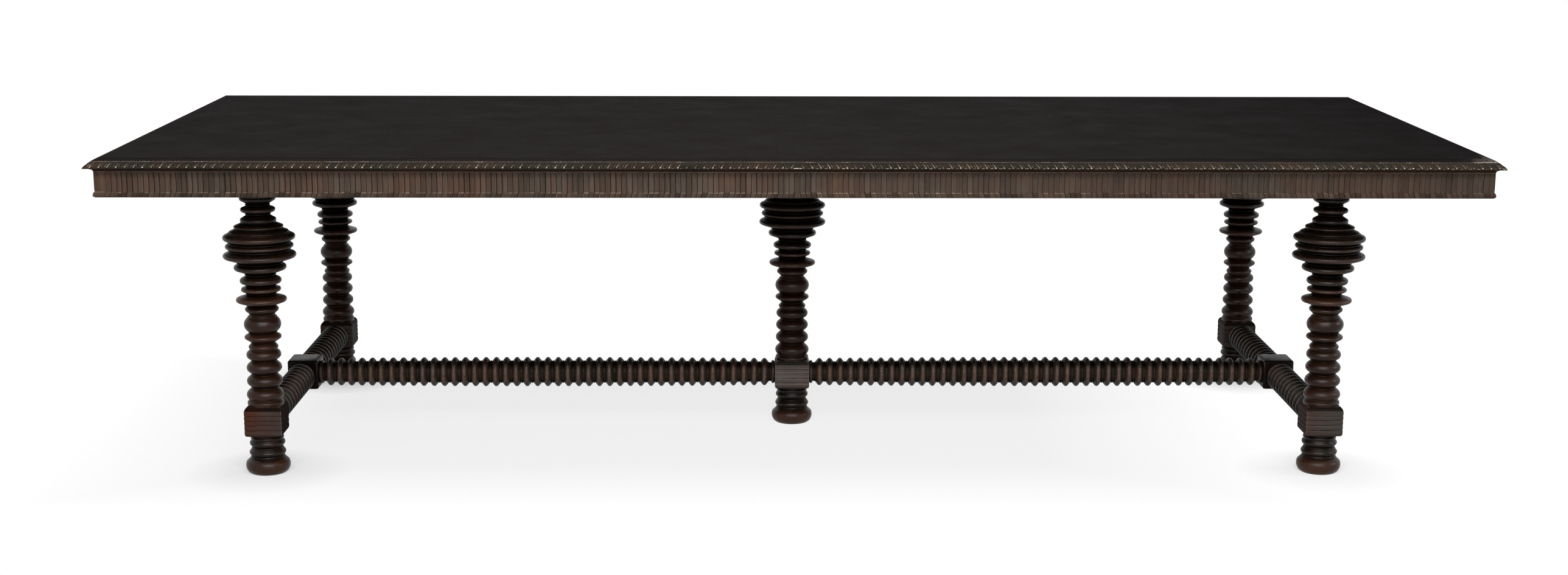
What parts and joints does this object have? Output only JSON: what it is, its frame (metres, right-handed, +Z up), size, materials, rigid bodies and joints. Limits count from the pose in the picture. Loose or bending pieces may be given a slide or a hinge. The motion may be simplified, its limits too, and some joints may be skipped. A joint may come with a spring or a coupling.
{
  "type": "banquet table",
  "caption": "Long dark wooden banquet table with a carved sloping lip, fluted frieze, ring-turned legs on bun feet and an H of ring-turned stretchers.",
  "frame": {"origin": "on the floor under the middle of the top", "axes": "+X along the table to the right, +Y across it to the back, +Z up"},
  "size_m": [3.15, 1.308, 0.762],
  "materials": {
    "top_wood": "near-black stain, satin, lightly worn",
    "edge_wood": "dark stain, satin, worn pale on the carving's high points",
    "frieze_wood": "grey-brown stain, low sheen, dark in the grooves",
    "turned_wood": "black-brown stain, satin, red-brown where worn",
    "inner_wood": "unstained, sawn and planed",
    "steel": "plain zinc-grey"
  },
  "bodies": {
    "root": {"back_bead_strip": "frieze_wood", "back_edge_moulding": "edge_wood", "back_edge_tongue": "inner_wood", "back_frieze_board": "frieze_wood", "back_glue_blocks": "inner_wood", "back_left_leg": "turned_wood", "back_right_leg": "turned_wood", "bearer_end_dowels": "inner_wood", "centre_bearer": "inner_wood", "centre_leg": "turned_wood", "end_stretcher_pegs": "turned_wood", "frieze_corner_blocks": "inner_wood", "front_bead_strip": "frieze_wood", "front_edge_moulding": "edge_wood", "front_edge_tongue": "inner_wood", "front_frieze_board": "frieze_wood", "front_glue_blocks": "inner_wood", "front_left_leg": "turned_wood", "front_right_leg": "turned_wood", "left_back_rail": "inner_wood", "left_bead_strip": "frieze_wood", "left_bearer": "inner_wood", "left_edge_moulding": "edge_wood", "left_edge_tongue": "inner_wood", "left_end_stretcher": "turned_wood", "left_frieze_board": "frieze_wood", "left_front_rail": "inner_wood", "left_glue_blocks": "inner_wood", "left_long_stretcher": "turned_wood", "leg_bolt_washers": "steel", "leg_bolts": "steel", "leg_dowels": "inner_wood", "long_stretcher_pegs": "turned_wood", "mid_block_pegs": "turned_wood", "rail_dowels": "inner_wood", "right_back_rail": "inner_wood", "right_bead_strip": "frieze_wood", "right_bearer": "inner_wood", "right_edge_moulding": "edge_wood", "right_edge_tongue": "inner_wood", "right_end_stretcher": "turned_wood", "right_frieze_board": "frieze_wood", "right_front_rail": "inner_wood", "right_glue_blocks": "inner_wood", "right_long_stretcher": "turned_wood", "seam_dowels": "inner_wood", "top_panel_left": "top_wood", "top_panel_right": "top_wood", "top_screws": "steel"}
  },
  "joints": []
}
